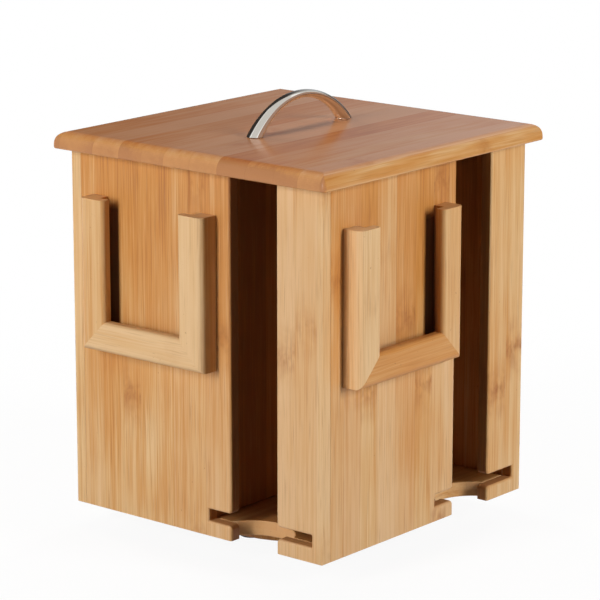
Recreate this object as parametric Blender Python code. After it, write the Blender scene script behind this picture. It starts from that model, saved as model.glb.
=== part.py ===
"""Revolving bamboo dispenser box: four bays for flat packets round one upright axis.

Each face has a wide panel with a U-shaped card holder, an open slot and a corner strip. The body turns on a
ball bearing between two plates, and the lid with its bow handle lifts off. Metres, +Z up, origin on the
surface that the feet stand on, below the centre of the box.
"""
import math

import bmesh
import bpy
from mathutils import Matrix, Vector

# Body
BODY_WIDTH = 0.156
BODY_HEIGHT = 0.1772
BOARD = 0.006
STRIP_WIDTH = 0.0274
SLOT_WIDTH = 0.028
FLOOR_THICKNESS = 0.0075
MOUTH_HEIGHT = 0.0059
MOUTH_INSET = 0.0004
EDGE_ROUNDING = 0.0008
NOTCH_FILLET = 0.001
DIVIDER = 0.005
DIVIDER_DROP = 0.002
CORE_WIDTH = 0.006
SCOOP_RADIUS = 0.021
SCOOP_DEPTH = 0.012

# Card holder on each wide panel
HOLDER_WIDTH = 0.0776
HOLDER_HEIGHT = 0.0746
HOLDER_DROP = 0.0202
RAIL_WIDTH = 0.0152
RAIL_LIP = 0.005
RAIL_REBATE = 0.006
POCKET_DEPTH = 0.0058
RAIL_ROUNDING = 0.0035
RAIL_INNER_ROUNDING = 0.0023

# Lid
LID_OVERHANG = 0.0065
LID_THICKNESS = 0.0082
LID_CORNER = 0.003
LID_ROUNDING = 0.005
LID_LOWER_ROUNDING = 0.001
CLEAT_LENGTH = 0.04
CLEAT_WIDTH = 0.006
CLEAT_HEIGHT = 0.008
CLEAT_PLAY = 0.0005

# Bow handle
HANDLE_CENTRES = 0.064
HANDLE_SPAN = 0.0668
HANDLE_HEIGHT = 0.018
HANDLE_TOP_THICKNESS = 0.0038
HANDLE_FOOT_THICKNESS = 0.0062
HANDLE_TOP_WIDTH = 0.0065
HANDLE_FOOT_WIDTH = 0.0084
HANDLE_SCREW_RADIUS = 0.0015
HANDLE_SCREW_HEAD_RADIUS = 0.0034
HANDLE_SCREW_HEAD = 0.0022
HANDLE_SCREW_GRIP = 0.003

# Turntable
BALL_DIAMETER = 0.003
BALL_COUNT = 8
BALL_CIRCLE_RADIUS = 0.030
RACE_DEPTH = 0.0005
CAGE_WIDTH = 0.007
CAGE_THICKNESS = 0.001
PLATE_THICKNESS = 0.0012
RIVET_RADIUS = 0.0025
RIVET_HEAD_RADIUS = 0.005
RIVET_HEAD = 0.001
SCREW_COUNT = 4
SCREW_RADIUS = 0.0013
SCREW_HEAD_RADIUS = 0.0024
SCREW_HEAD = 0.0012
SCREW_COVER = 0.0008
UPPER_SCREW_BITE = 0.004
ACCESS_HOLE_RADIUS = 0.0035
PLATE_MARGIN = 0.0026
BASE_MARGIN = 0.004
BASE_THICKNESS = 0.004
BASE_ROUNDING = 0.0006
FOOT_COUNT = 4
FOOT_RADIUS = 0.006
FOOT_HEIGHT = 0.0015
FOOT_INSET = 0.003

# Gaps: between pieces that rest on each other, and round pieces that pass each other
GAP = 0.0003
RUNNING_GAP = 0.001

# Facets
ROUND_STEPS = 48
SMALL_ROUND_STEPS = 12
BALL_RINGS = 8
CORNER_STEPS = 4
SCOOP_STEPS = 12
HANDLE_STEPS = 20
HANDLE_SECTION_STEPS = 16
SMOOTH_ANGLE = math.radians(40)
MERGE_DISTANCE = 1e-7

# Places worked out from the sizes above
half_body = BODY_WIDTH / 2
half_inner = half_body - BOARD
slot_right = half_body - STRIP_WIDTH
slot_left = slot_right - SLOT_WIDTH
bay_left = CORE_WIDTH / 2 + DIVIDER
mouth_left = bay_left + MOUTH_INSET
mouth_right = half_inner - MOUTH_INSET
mouth_low = FLOOR_THICKNESS
mouth_high = FLOOR_THICKNESS + MOUTH_HEIGHT
panel_left = GAP - half_inner
rail_depth = POCKET_DEPTH + RAIL_LIP
holder_centre = (panel_left + slot_left) / 2
holder_top = BODY_HEIGHT - HOLDER_DROP

ball_radius = BALL_DIAMETER / 2
plate_gap = BALL_DIAMETER - 2 * (RACE_DEPTH - GAP)
cage_inner = BALL_CIRCLE_RADIUS - CAGE_WIDTH / 2
cage_outer = BALL_CIRCLE_RADIUS + CAGE_WIDTH / 2
upper_screw_circle = cage_inner - RUNNING_GAP - SCREW_HEAD_RADIUS
lower_screw_circle = cage_outer + RUNNING_GAP + SCREW_HEAD_RADIUS
plate_radius = lower_screw_circle + SCREW_HEAD_RADIUS + PLATE_MARGIN
base_radius = plate_radius + BASE_MARGIN

base_bottom = FOOT_HEIGHT + GAP
base_top = base_bottom + BASE_THICKNESS
lower_plate_bottom = base_top + GAP
lower_plate_top = lower_plate_bottom + PLATE_THICKNESS
ball_height = lower_plate_top + plate_gap / 2
upper_plate_bottom = lower_plate_top + plate_gap
upper_plate_top = upper_plate_bottom + PLATE_THICKNESS
body_bottom = upper_plate_top + GAP
body_top = body_bottom + BODY_HEIGHT
lid_bottom = body_top + GAP
lid_top = lid_bottom + LID_THICKNESS
handle_bottom = lid_top + GAP

FACES = ("front", "right", "back", "left")


def clear_scene():
    """Remove every object of the open file."""
    for thing in list(bpy.data.objects):
        bpy.data.objects.remove(thing, do_unlink=True)


def make_material(name, colour, roughness, metallic=0.0):
    """A Principled BSDF of one colour."""
    material = bpy.data.materials.new(name)
    material.use_nodes = True
    shader = material.node_tree.nodes["Principled BSDF"]
    shader.inputs["Base Color"].default_value = (*colour, 1.0)
    shader.inputs["Roughness"].default_value = roughness
    shader.inputs["Metallic"].default_value = metallic
    return material


def make_empty(name, location=(0, 0, 0), turn=0.0, parent=None):
    """An empty that carries pieces, turned about Z."""
    empty = bpy.data.objects.new(name, None)
    empty.location = location
    empty.rotation_euler = (0, 0, turn)
    empty.parent = parent
    bpy.context.collection.objects.link(empty)
    return empty


def place(name, mesh, material, location=(0, 0, 0), parent=None):
    """Put a mesh in the scene as one named piece."""
    if not mesh.materials:
        mesh.materials.append(material)
    piece = bpy.data.objects.new(name, mesh)
    piece.location = location
    piece.parent = parent
    bpy.context.collection.objects.link(piece)
    return piece


def finish_mesh(name, bm):
    """Merge doubles, turn the faces out and hand back a mesh that is smooth but for its sharp edges."""
    bmesh.ops.remove_doubles(bm, verts=bm.verts, dist=MERGE_DISTANCE)
    bmesh.ops.recalc_face_normals(bm, faces=bm.faces)
    mesh = bpy.data.meshes.new(name)
    bm.to_mesh(mesh)
    bm.free()
    mesh.shade_smooth()
    mesh.set_sharp_from_angle(angle=SMOOTH_ANGLE)
    return mesh


def turned_mesh(name, profile, steps, closed=False):
    """Spin a profile of (radius, height) points round Z."""
    bm = bmesh.new()
    points = [bm.verts.new((radius, 0, height)) for radius, height in profile]
    pairs = list(zip(points, points[1:]))
    if closed:
        pairs.append((points[-1], points[0]))
    edges = [bm.edges.new(pair) for pair in pairs]
    bmesh.ops.spin(bm, geom=points + edges, axis=(0, 0, 1), cent=(0, 0, 0), steps=steps,
                   angle=math.tau, use_merge=True)
    return finish_mesh(name, bm)


def loft_mesh(name, rings):
    """Join rings of equally many points into one closed skin, capped at both ends."""
    bm = bmesh.new()
    loops = [[bm.verts.new(point) for point in ring] for ring in rings]
    for low, high in zip(loops, loops[1:]):
        for i in range(len(low)):
            j = (i + 1) % len(low)
            bm.faces.new((low[i], low[j], high[j], high[i]))
    bm.faces.new(list(reversed(loops[0])))
    bm.faces.new(loops[-1])
    return finish_mesh(name, bm)


def arc(centre, radius, start, end, steps):
    """Points on an arc, in a plane, from one angle to another."""
    points = []
    for i in range(steps + 1):
        angle = start + (end - start) * i / steps
        points.append((centre[0] + radius * math.cos(angle), centre[1] + radius * math.sin(angle)))
    return points


def fillet(before, corner, after, radius, steps):
    """Points that round the corner of an outline."""
    corner = Vector(corner)
    back = (Vector(before) - corner).normalized()
    ahead = (Vector(after) - corner).normalized()
    start = corner + back * radius
    end = corner + ahead * radius
    centre = start + end - corner
    first = math.atan2(start.y - centre.y, start.x - centre.x)
    sweep = math.atan2(end.y - centre.y, end.x - centre.x) - first
    sweep = (sweep + math.pi) % math.tau - math.pi
    return arc(centre, radius, first, first + sweep, steps)


def drill(piece, label, holes, top, bottom):
    """Cut round holes, each (x, y, radius), between two heights of the piece's own frame."""
    bm = bmesh.new()
    for x, y, radius in holes:
        middle = Matrix.Translation((x, y, (top + bottom) / 2))
        bmesh.ops.create_cone(bm, cap_ends=True, segments=SMALL_ROUND_STEPS, radius1=radius,
                              radius2=radius, depth=top - bottom, matrix=middle)
    name = f"{piece.name}_{label}_cutter"
    cutter = place(name, finish_mesh(name, bm), piece.data.materials[0], parent=piece)
    cutter.hide_render = True
    cutter.display_type = "WIRE"
    cut = piece.modifiers.new(label, "BOOLEAN")
    cut.operation = "DIFFERENCE"
    cut.solver = "EXACT"
    cut.object = cutter


def ring_of_places(count, radius, start=0.0):
    """Points spaced evenly on a circle about Z."""
    angles = [start + math.tau * i / count for i in range(count)]
    return [(radius * math.cos(angle), radius * math.sin(angle)) for angle in angles]


def rounded_square(half, corner, height):
    """A square ring with round corners, at one height."""
    corner = min(max(corner, GAP), half)
    reach = half - corner
    ring = []
    for i, (side_x, side_y) in enumerate(((1, 1), (-1, 1), (-1, -1), (1, -1))):
        start = i * math.pi / 2
        for x, y in arc((side_x * reach, side_y * reach), corner, start, start + math.pi / 2, CORNER_STEPS):
            ring.append((x, y, height))
    return ring


def board_mesh(name, outline, rounded):
    """A board cut to an (x, z) outline; its outer face is at y 0 and the rounded edges are eased there.

    rounded says, for a point of the outer face, whether the edges there are slot or mouth edges.
    """
    bm = bmesh.new()
    outer = bm.faces.new([bm.verts.new((x, 0, z)) for x, z in outline])
    moved = bmesh.ops.extrude_face_region(bm, geom=[outer])
    inner = [item for item in moved["geom"] if isinstance(item, bmesh.types.BMVert)]
    bmesh.ops.translate(bm, verts=inner, vec=(0, BOARD, 0))
    bmesh.ops.recalc_face_normals(bm, faces=bm.faces)
    eased = []
    for edge in bm.edges:
        middle = (edge.verts[0].co + edge.verts[1].co) / 2
        if all(abs(vert.co.y) < GAP for vert in edge.verts) and rounded(middle.x, middle.z):
            eased.append(edge)
    bmesh.ops.bevel(bm, geom=eased, offset=EDGE_ROUNDING, segments=2, profile=0.5, affect="EDGES",
                    clamp_overlap=True)
    return finish_mesh(name, bm)


def panel_mesh():
    """Wide panel: the mouth is cut into its lower right corner above a low tab."""
    high, low = (mouth_left, mouth_high), (mouth_left, mouth_low)
    slot_high, slot_low = (slot_left, mouth_high), (slot_left, mouth_low)
    top_right, bottom_right = (slot_left, BODY_HEIGHT), (slot_left, 0)
    outline = [(panel_left, 0), bottom_right]
    outline += fillet(bottom_right, slot_low, low, NOTCH_FILLET, CORNER_STEPS)
    outline += [low, high]
    outline += fillet(high, slot_high, top_right, NOTCH_FILLET, CORNER_STEPS)
    outline += [top_right, (panel_left, BODY_HEIGHT)]

    def on_opening(x, z):
        return x > mouth_left - GAP and GAP < z < BODY_HEIGHT - GAP

    return board_mesh("wide_panel", outline, on_opening)


def strip_mesh():
    """Corner strip: the other half of the mouth is cut into its lower left corner."""
    high, low = (mouth_right, mouth_high), (mouth_right, mouth_low)
    slot_high, slot_low = (slot_right, mouth_high), (slot_right, mouth_low)
    top_left, bottom_left = (slot_right, BODY_HEIGHT), (slot_right, 0)
    outline = [bottom_left, (half_body, 0), (half_body, BODY_HEIGHT), top_left]
    outline += fillet(top_left, slot_high, high, NOTCH_FILLET, CORNER_STEPS)
    outline += [high, low]
    outline += fillet(low, slot_low, bottom_left, NOTCH_FILLET, CORNER_STEPS)

    def on_opening(x, z):
        return x < mouth_right + GAP and GAP < z < BODY_HEIGHT - GAP

    return board_mesh("corner_strip", outline, on_opening)


def divider_mesh():
    """Divider: from the panel's inner face to the next divider, left of the bay."""
    low = FLOOR_THICKNESS + GAP
    high = BODY_HEIGHT - DIVIDER_DROP
    left, right = CORE_WIDTH / 2, bay_left
    near, far = GAP - half_inner, CORE_WIDTH / 2 - GAP
    corners = ((left, near), (right, near), (right, far), (left, far))
    rings = [[(x, y, height) for x, y in corners] for height in (low, high)]
    return loft_mesh("divider", rings)


def rail_section():
    """Rail section as (from the outer side, from the wall): a rebate at the wall, a rounded lip in front."""
    outer_side, inner_side = 0.0, RAIL_WIDTH
    front = rail_depth
    web = RAIL_WIDTH - RAIL_REBATE
    section = [(outer_side, GAP), (web, GAP), (web, POCKET_DEPTH), (inner_side, POCKET_DEPTH)]
    inner_corner, outer_corner = (inner_side, front), (outer_side, front)
    section += fillet((inner_side, POCKET_DEPTH), inner_corner, outer_corner, RAIL_INNER_ROUNDING,
                      CORNER_STEPS)
    section += fillet(inner_corner, outer_corner, (outer_side, GAP), RAIL_ROUNDING, CORNER_STEPS)
    return section


def side_rail_mesh(side):
    """Upright rail: square at the top, mitred at the foot. side is -1 for the left rail, 1 for the right."""
    mitre_gap = GAP / math.sqrt(2)
    foot, head = [], []
    for across, out in rail_section():
        x = side * (HOLDER_WIDTH / 2 - across)
        foot.append((x, -out, across - HOLDER_HEIGHT + mitre_gap))
        head.append((x, -out, 0))
    return loft_mesh("side_rail", [foot, head])


def bottom_rail_mesh():
    """Lower rail: mitred at both ends."""
    mitre_gap = GAP / math.sqrt(2)
    ends = []
    for side in (-1, 1):
        ring = []
        for across, out in rail_section():
            x = side * (HOLDER_WIDTH / 2 - across - mitre_gap)
            ring.append((x, -out, across - HOLDER_HEIGHT))
        ends.append(ring)
    return loft_mesh("bottom_rail", ends)


def floor_mesh():
    """Floor board: a square with a round finger scoop in each side, in line with the slot."""
    half = half_inner - GAP
    scoop_centre = (slot_left + slot_right) / 2
    reach = SCOOP_DEPTH - GAP
    drop = SCOOP_RADIUS - reach
    half_angle = math.acos(drop / SCOOP_RADIUS)
    side = [(-half, -half)]
    centre = (scoop_centre, -half - drop)
    side += arc(centre, SCOOP_RADIUS, math.pi / 2 + half_angle, math.pi / 2 - half_angle, SCOOP_STEPS)
    outline = []
    for i in range(len(FACES)):
        turn = Matrix.Rotation(i * math.pi / 2, 2)
        outline += [turn @ Vector(point) for point in side]
    rings = [[(point.x, point.y, height) for point in outline] for height in (0, FLOOR_THICKNESS)]
    return loft_mesh("floor_board", rings)


def lid_mesh():
    """Lid board: round corners, a large rounding at the top edge and a small one below."""
    half = half_body + LID_OVERHANG
    rings = []
    for low_angle in (0, math.pi / 4, math.pi / 2):
        inset = LID_LOWER_ROUNDING * (1 - math.sin(low_angle))
        height = LID_LOWER_ROUNDING * (1 - math.cos(low_angle))
        rings.append(rounded_square(half - inset, LID_CORNER - inset, height))
    for i in range(CORNER_STEPS + 1):
        angle = i * math.pi / 2 / CORNER_STEPS
        inset = LID_ROUNDING * (1 - math.cos(angle))
        height = LID_THICKNESS - LID_ROUNDING * (1 - math.sin(angle))
        rings.append(rounded_square(half - inset, LID_CORNER - inset, height))
    return loft_mesh("lid_board", rings)


def handle_mesh():
    """Bow: an oval section swept along an arc in the YZ plane, tapering to the top, its feet cut level."""
    rise = HANDLE_HEIGHT - HANDLE_TOP_THICKNESS / 2
    half_span = HANDLE_SPAN / 2
    radius = (half_span ** 2 + rise ** 2) / (2 * rise)
    centre_height = rise - radius
    half_angle = math.asin(half_span / radius)
    rings = []
    for i in range(HANDLE_STEPS + 1):
        share = 2 * i / HANDLE_STEPS - 1
        angle = half_angle * share
        flare = share ** 2
        thickness = HANDLE_TOP_THICKNESS + (HANDLE_FOOT_THICKNESS - HANDLE_TOP_THICKNESS) * flare
        width = HANDLE_TOP_WIDTH + (HANDLE_FOOT_WIDTH - HANDLE_TOP_WIDTH) * flare
        outward = Vector((0, math.sin(angle), math.cos(angle)))
        along = Vector((0, math.cos(angle), -math.sin(angle)))
        spine = Vector((0, 0, centre_height)) + outward * radius
        ring = []
        for k in range(HANDLE_SECTION_STEPS):
            turn = math.tau * k / HANDLE_SECTION_STEPS
            point = spine + outward * (math.sin(turn) * thickness / 2)
            point.x = math.cos(turn) * width / 2
            if abs(share) == 1:
                point -= along * (point.z / along.z)
            ring.append(point)
        rings.append(ring)
    return loft_mesh("handle_bow", rings)


def screw_mesh(name, radius, head_radius, head, length):
    """Screw pointing down: a domed head above z 0, a shank and a blunt tip below."""
    rim = head / 2
    dome = arc((0, 0), 1, math.pi / 2, 0, CORNER_STEPS // 2)
    profile = [(x * head_radius, rim + z * rim) for x, z in dome]
    tip = radius / 2
    profile += [(head_radius, 0), (radius, 0), (radius, tip - length), (tip, -length), (0, -length)]
    return turned_mesh(name, profile, SMALL_ROUND_STEPS)


def plate_mesh(name):
    """Bearing plate: a disc with a centre hole and a pressed ball race in its upper face, from z 0 up."""
    bore = RIVET_RADIUS + GAP
    race_radius = ball_radius + GAP
    race_reach = math.sqrt(race_radius ** 2 - (race_radius - RACE_DEPTH - GAP) ** 2)
    half_angle = math.asin(race_reach / race_radius)
    centre = (BALL_CIRCLE_RADIUS, PLATE_THICKNESS + race_radius - RACE_DEPTH - GAP)
    low = -math.pi / 2
    profile = [(plate_radius, PLATE_THICKNESS), (plate_radius, 0), (bore, 0), (bore, PLATE_THICKNESS)]
    profile += arc(centre, race_radius, low - half_angle, low + half_angle, CORNER_STEPS)
    return turned_mesh(name, profile, ROUND_STEPS, closed=True)


def build_base(base, wood, rubber, steel):
    """Base disc, feet, lower bearing plate and centre rivet: what stays still."""
    edge = BASE_ROUNDING
    bore = RIVET_HEAD_RADIUS + RUNNING_GAP
    profile = [(base_radius - edge, BASE_THICKNESS), (base_radius, BASE_THICKNESS - edge),
               (base_radius, edge), (base_radius - edge, 0), (bore, 0), (bore, BASE_THICKNESS)]
    disc = place("base_disc", turned_mesh("base_disc", profile, ROUND_STEPS, closed=True), wood,
                 (0, 0, base_bottom), base)
    quarter = math.pi / SCREW_COUNT
    screw_places = ring_of_places(SCREW_COUNT, lower_screw_circle, quarter)
    access = ring_of_places(SCREW_COUNT, upper_screw_circle, quarter)[0]
    pilot = [(x, y, SCREW_RADIUS + GAP) for x, y in screw_places]
    pilot_depth = BASE_THICKNESS - SCREW_COVER / 2
    drill(disc, "pilot_holes", pilot, BASE_THICKNESS + GAP, BASE_THICKNESS - pilot_depth)
    drill(disc, "access_hole", [(*access, ACCESS_HOLE_RADIUS)], BASE_THICKNESS + GAP, -GAP)

    foot_profile = [(0, FOOT_HEIGHT), (FOOT_RADIUS, FOOT_HEIGHT), (FOOT_RADIUS, 0), (0, 0)]
    foot = turned_mesh("foot", foot_profile, 2 * SMALL_ROUND_STEPS)
    foot_circle = base_radius - FOOT_INSET - FOOT_RADIUS
    for i, (x, y) in enumerate(ring_of_places(FOOT_COUNT, foot_circle)):
        place(f"foot_{i + 1}", foot, rubber, (x, y, 0), base)

    plate = place("lower_plate", plate_mesh("lower_plate"), steel, (0, 0, lower_plate_bottom), base)
    drill(plate, "holes", pilot + [(*access, ACCESS_HOLE_RADIUS)], PLATE_THICKNESS + GAP, -GAP)
    length = PLATE_THICKNESS + GAP + GAP + BASE_THICKNESS - SCREW_COVER
    screw = screw_mesh("lower_plate_screw", SCREW_RADIUS, SCREW_HEAD_RADIUS, SCREW_HEAD, length)
    for i, (x, y) in enumerate(screw_places):
        place(f"lower_plate_screw_{i + 1}", screw, steel, (x, y, lower_plate_top + GAP), base)

    low_face = lower_plate_bottom - GAP
    high_face = upper_plate_top + GAP
    rivet_profile = [(0, high_face + RIVET_HEAD), (RIVET_HEAD_RADIUS, high_face + RIVET_HEAD),
                     (RIVET_HEAD_RADIUS, high_face), (RIVET_RADIUS, high_face), (RIVET_RADIUS, low_face),
                     (RIVET_HEAD_RADIUS, low_face), (RIVET_HEAD_RADIUS, low_face - RIVET_HEAD),
                     (0, low_face - RIVET_HEAD)]
    rivet = turned_mesh("centre_rivet", rivet_profile, 2 * SMALL_ROUND_STEPS)
    place("centre_rivet", rivet, steel, parent=base)


def build_cage(cage, nylon, steel):
    """Ball cage with its balls, between the two plates."""
    low, high = -CAGE_THICKNESS / 2, CAGE_THICKNESS / 2
    profile = [(cage_outer, high), (cage_outer, low), (cage_inner, low), (cage_inner, high)]
    ring = turned_mesh("ball_cage", profile, ROUND_STEPS, closed=True)
    holder = place("ball_cage", ring, nylon, (0, 0, ball_height), cage)
    ball_places = ring_of_places(BALL_COUNT, BALL_CIRCLE_RADIUS)
    drill(holder, "pockets", [(x, y, ball_radius + GAP) for x, y in ball_places], high + GAP, low - GAP)
    bm = bmesh.new()
    bmesh.ops.create_uvsphere(bm, u_segments=SMALL_ROUND_STEPS, v_segments=BALL_RINGS, radius=ball_radius)
    ball = finish_mesh("ball", bm)
    for i, (x, y) in enumerate(ball_places):
        place(f"ball_{i + 1}", ball, steel, (x, y, ball_height), cage)


def build_body(carousel, bamboo, steel):
    """Upper bearing plate, floor, panels, strips, dividers and card holders: what turns."""
    plate = place("upper_plate", plate_mesh("upper_plate"), steel, (0, 0, upper_plate_top), carousel)
    plate.rotation_euler = (math.pi, 0, 0)
    screw_places = ring_of_places(SCREW_COUNT, upper_screw_circle, math.pi / SCREW_COUNT)
    pilot = [(x, y, SCREW_RADIUS + GAP) for x, y in screw_places]
    drill(plate, "holes", pilot, PLATE_THICKNESS + GAP, -GAP)

    deck = place("floor_board", floor_mesh(), bamboo, (0, 0, body_bottom), carousel)
    drill(deck, "pilot_holes", pilot, UPPER_SCREW_BITE + GAP, -GAP)
    drill(deck, "rivet_recess", [(0, 0, RIVET_HEAD_RADIUS + RUNNING_GAP)], RIVET_HEAD + RUNNING_GAP, -GAP)
    length = UPPER_SCREW_BITE + GAP + PLATE_THICKNESS
    screw = screw_mesh("upper_plate_screw", SCREW_RADIUS, SCREW_HEAD_RADIUS, SCREW_HEAD, length)
    for i, (x, y) in enumerate(screw_places):
        driven = place(f"upper_plate_screw_{i + 1}", screw, steel, (x, y, upper_plate_bottom - GAP), carousel)
        driven.rotation_euler = (math.pi, 0, 0)

    panel, strip, divider = panel_mesh(), strip_mesh(), divider_mesh()
    left_rail, right_rail, low_rail = side_rail_mesh(-1), side_rail_mesh(1), bottom_rail_mesh()
    for i, face in enumerate(FACES):
        side = make_empty(f"{face}_side", (0, 0, body_bottom), i * math.pi / 2, carousel)
        place(f"{face}_panel", panel, bamboo, (0, -half_body, 0), side)
        place(f"{face}_strip", strip, bamboo, (0, -half_body, 0), side)
        place(f"{face}_divider", divider, bamboo, (0, 0, 0), side)
        holder = (holder_centre, -half_body, holder_top)
        place(f"{face}_holder_left_rail", left_rail, bamboo, holder, side)
        place(f"{face}_holder_right_rail", right_rail, bamboo, holder, side)
        place(f"{face}_holder_bottom_rail", low_rail, bamboo, holder, side)


def build_lid(lid, bamboo, steel, chrome):
    """Lid board with its cleats, and the bow handle with its screws."""
    foot_places = [(0, -HANDLE_CENTRES / 2), (0, HANDLE_CENTRES / 2)]
    hole_radius = HANDLE_SCREW_RADIUS + GAP
    board = place("lid_board", lid_mesh(), bamboo, (0, 0, lid_bottom), lid)
    drill(board, "screw_holes", [(x, y, hole_radius) for x, y in foot_places], LID_THICKNESS + GAP, -GAP)
    recess_radius = HANDLE_SCREW_HEAD_RADIUS + GAP
    recess = HANDLE_SCREW_HEAD + GAP
    drill(board, "head_recesses", [(x, y, recess_radius) for x, y in foot_places], recess, -GAP)

    bow = place("handle_bow", handle_mesh(), chrome, (0, 0, handle_bottom), lid)
    grip = HANDLE_SCREW_GRIP
    drill(bow, "screw_holes", [(x, y, hole_radius) for x, y in foot_places], grip + GAP, -GAP)
    length = LID_THICKNESS - HANDLE_SCREW_HEAD + GAP + grip
    screw = screw_mesh("handle_screw", HANDLE_SCREW_RADIUS, HANDLE_SCREW_HEAD_RADIUS, HANDLE_SCREW_HEAD,
                       length)
    for i, (x, y) in enumerate(foot_places):
        seat = lid_bottom + HANDLE_SCREW_HEAD
        driven = place(f"handle_screw_{i + 1}", screw, steel, (x, y, seat), lid)
        driven.rotation_euler = (math.pi, 0, 0)

    middle = (panel_left + CORE_WIDTH / 2) / 2
    near = CLEAT_PLAY - half_inner
    ends = (middle - CLEAT_LENGTH / 2, middle + CLEAT_LENGTH / 2)
    corners = ((ends[0], near), (ends[1], near), (ends[1], near + CLEAT_WIDTH), (ends[0], near + CLEAT_WIDTH))
    rings = [[(x, y, height) for x, y in corners] for height in (-CLEAT_HEIGHT, -GAP)]
    cleat = loft_mesh("lid_cleat", rings)
    for i, face in enumerate(FACES):
        side = make_empty(f"{face}_lid_side", (0, 0, lid_bottom), i * math.pi / 2, lid)
        place(f"{face}_lid_cleat", cleat, bamboo, (0, 0, 0), side)


def build():
    """Make the whole box."""
    clear_scene()
    bamboo = make_material("bamboo", (0.61, 0.33, 0.13), 0.45)
    base_wood = make_material("base_wood", (0.50, 0.29, 0.13), 0.55)
    chrome = make_material("chrome", (0.80, 0.80, 0.79), 0.08, 1.0)
    steel = make_material("zinc_steel", (0.60, 0.60, 0.58), 0.35, 1.0)
    nylon = make_material("nylon", (0.80, 0.79, 0.74), 0.5)
    rubber = make_material("rubber", (0.03, 0.03, 0.03), 0.8)
    base = make_empty("base")
    cage = make_empty("cage_axis", parent=base)
    carousel = make_empty("carousel_axis", parent=base)
    lid = make_empty("lid_axis", parent=carousel)
    build_base(base, base_wood, rubber, steel)
    build_cage(cage, nylon, steel)
    build_body(carousel, bamboo, steel)
    build_lid(lid, bamboo, steel, chrome)


build()
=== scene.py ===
"""Looks of the revolving bamboo dispenser box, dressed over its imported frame.

The sections follow the box from its feet up: base and bearing, floor, walls, dividers, card holders, lid and
handle, then the table, the light, the studio walls and the camera. Places are in metres, and the wood's own
grain is in millimetres.
"""
import math

import bmesh
import bpy
from mathutils import Matrix, Vector


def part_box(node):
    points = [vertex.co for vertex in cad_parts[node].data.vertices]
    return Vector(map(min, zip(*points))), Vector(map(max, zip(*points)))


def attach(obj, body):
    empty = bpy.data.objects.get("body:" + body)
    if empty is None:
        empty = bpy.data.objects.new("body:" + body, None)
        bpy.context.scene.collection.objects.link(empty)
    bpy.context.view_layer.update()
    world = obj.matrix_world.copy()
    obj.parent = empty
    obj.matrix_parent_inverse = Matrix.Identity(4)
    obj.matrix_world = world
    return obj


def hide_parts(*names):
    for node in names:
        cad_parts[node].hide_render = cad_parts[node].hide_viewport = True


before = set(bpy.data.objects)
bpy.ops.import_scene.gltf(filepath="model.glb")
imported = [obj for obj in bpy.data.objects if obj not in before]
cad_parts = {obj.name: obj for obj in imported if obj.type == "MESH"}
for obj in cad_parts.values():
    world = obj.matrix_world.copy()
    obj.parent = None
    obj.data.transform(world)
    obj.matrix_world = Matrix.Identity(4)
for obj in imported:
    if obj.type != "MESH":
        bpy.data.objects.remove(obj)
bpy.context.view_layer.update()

# Feet: four soft black discs with a rounded lower rim, moulded in rubber.
# They are glued under the base disc, so only their rims show below it.
FOOT_RIM = 0.0005
FOOT_RIM_STEPS = 5
FOOT_STEPS = 40
FOOT_COLOUR = (0.030, 0.029, 0.028)
FOOT_DUST = (0.085, 0.082, 0.078)
TURNED_SHARP = math.radians(40)
SAME_PLACE = 1e-6
MILLIMETRES = 1000.0


class Wire:
    """One output of a node; sums and products of wires add Math nodes to its tree."""

    def __init__(self, tree, output=None):
        self.tree = tree
        self.output = output

    def node(self, kind, settings=None, values=None, take=0):
        """Add a node: its settings first, then its sockets' values or wires; hand back the outputs taken."""
        made = self.tree.nodes.new(kind)
        for key, value in (settings or {}).items():
            if key == "stops":
                stops = made.color_ramp.elements
                while len(stops) < len(value):
                    stops.new(1.0)
                for stop, (position, colour) in zip(stops, value):
                    stop.position = position
                    stop.color = (*colour, 1.0)
            else:
                setattr(made, key, value)
        for key, value in (values or {}).items():
            if isinstance(value, Wire):
                self.tree.links.new(value.output, made.inputs[key])
            else:
                made.inputs[key].default_value = value
        if isinstance(take, tuple):
            return [Wire(self.tree, made.outputs[index]) for index in take]
        return Wire(self.tree, made.outputs[take])

    def maths(self, operation, first, second=0.0):
        return self.node("ShaderNodeMath", {"operation": operation}, {0: first, 1: second})

    def __add__(self, other):
        return self.maths("ADD", self, other)

    def __radd__(self, other):
        return self.maths("ADD", other, self)

    def __sub__(self, other):
        return self.maths("SUBTRACT", self, other)

    def __rsub__(self, other):
        return self.maths("SUBTRACT", other, self)

    def __mul__(self, other):
        return self.maths("MULTIPLY", self, other)

    def __rmul__(self, other):
        return self.maths("MULTIPLY", other, self)

    def __truediv__(self, other):
        return self.maths("DIVIDE", self, other)

    def floor(self):
        return self.maths("FLOOR", self)

    def fraction(self):
        return self.maths("FRACT", self)

    def size(self):
        return self.maths("ABSOLUTE", self)

    def lower(self, other):
        return self.maths("MINIMUM", self, other)

    def clamp(self):
        return self.node("ShaderNodeClamp", {}, {"Value": self})

    def above(self, limit, gain):
        """0 up to a limit, then rising to 1."""
        return ((self - limit) * gain).clamp()

    def below(self, limit, gain):
        """0 down to a limit, then rising to 1."""
        return ((limit - self) * gain).clamp()

    def fading(self, reach):
        """1 at zero, falling to 0 at a reach."""
        return (1.0 - self / reach).clamp()

    def vector(self, second, third):
        """This value and two more as a vector."""
        return self.node("ShaderNodeCombineXYZ", {}, {0: self, 1: second, 2: third})

    def mix(self, first, second):
        """Two colours mixed by this value."""
        return self.node("ShaderNodeMix", {"data_type": "RGBA"}, {0: self, 6: first, 7: second}, take=2)


def new_material(name):
    """A material with its Principled shader, and a wire to start its maths from."""
    material = bpy.data.materials.new(name)
    material.use_nodes = True
    shader = material.node_tree.nodes["Principled BSDF"]
    return material, shader, Wire(material.node_tree)


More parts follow.
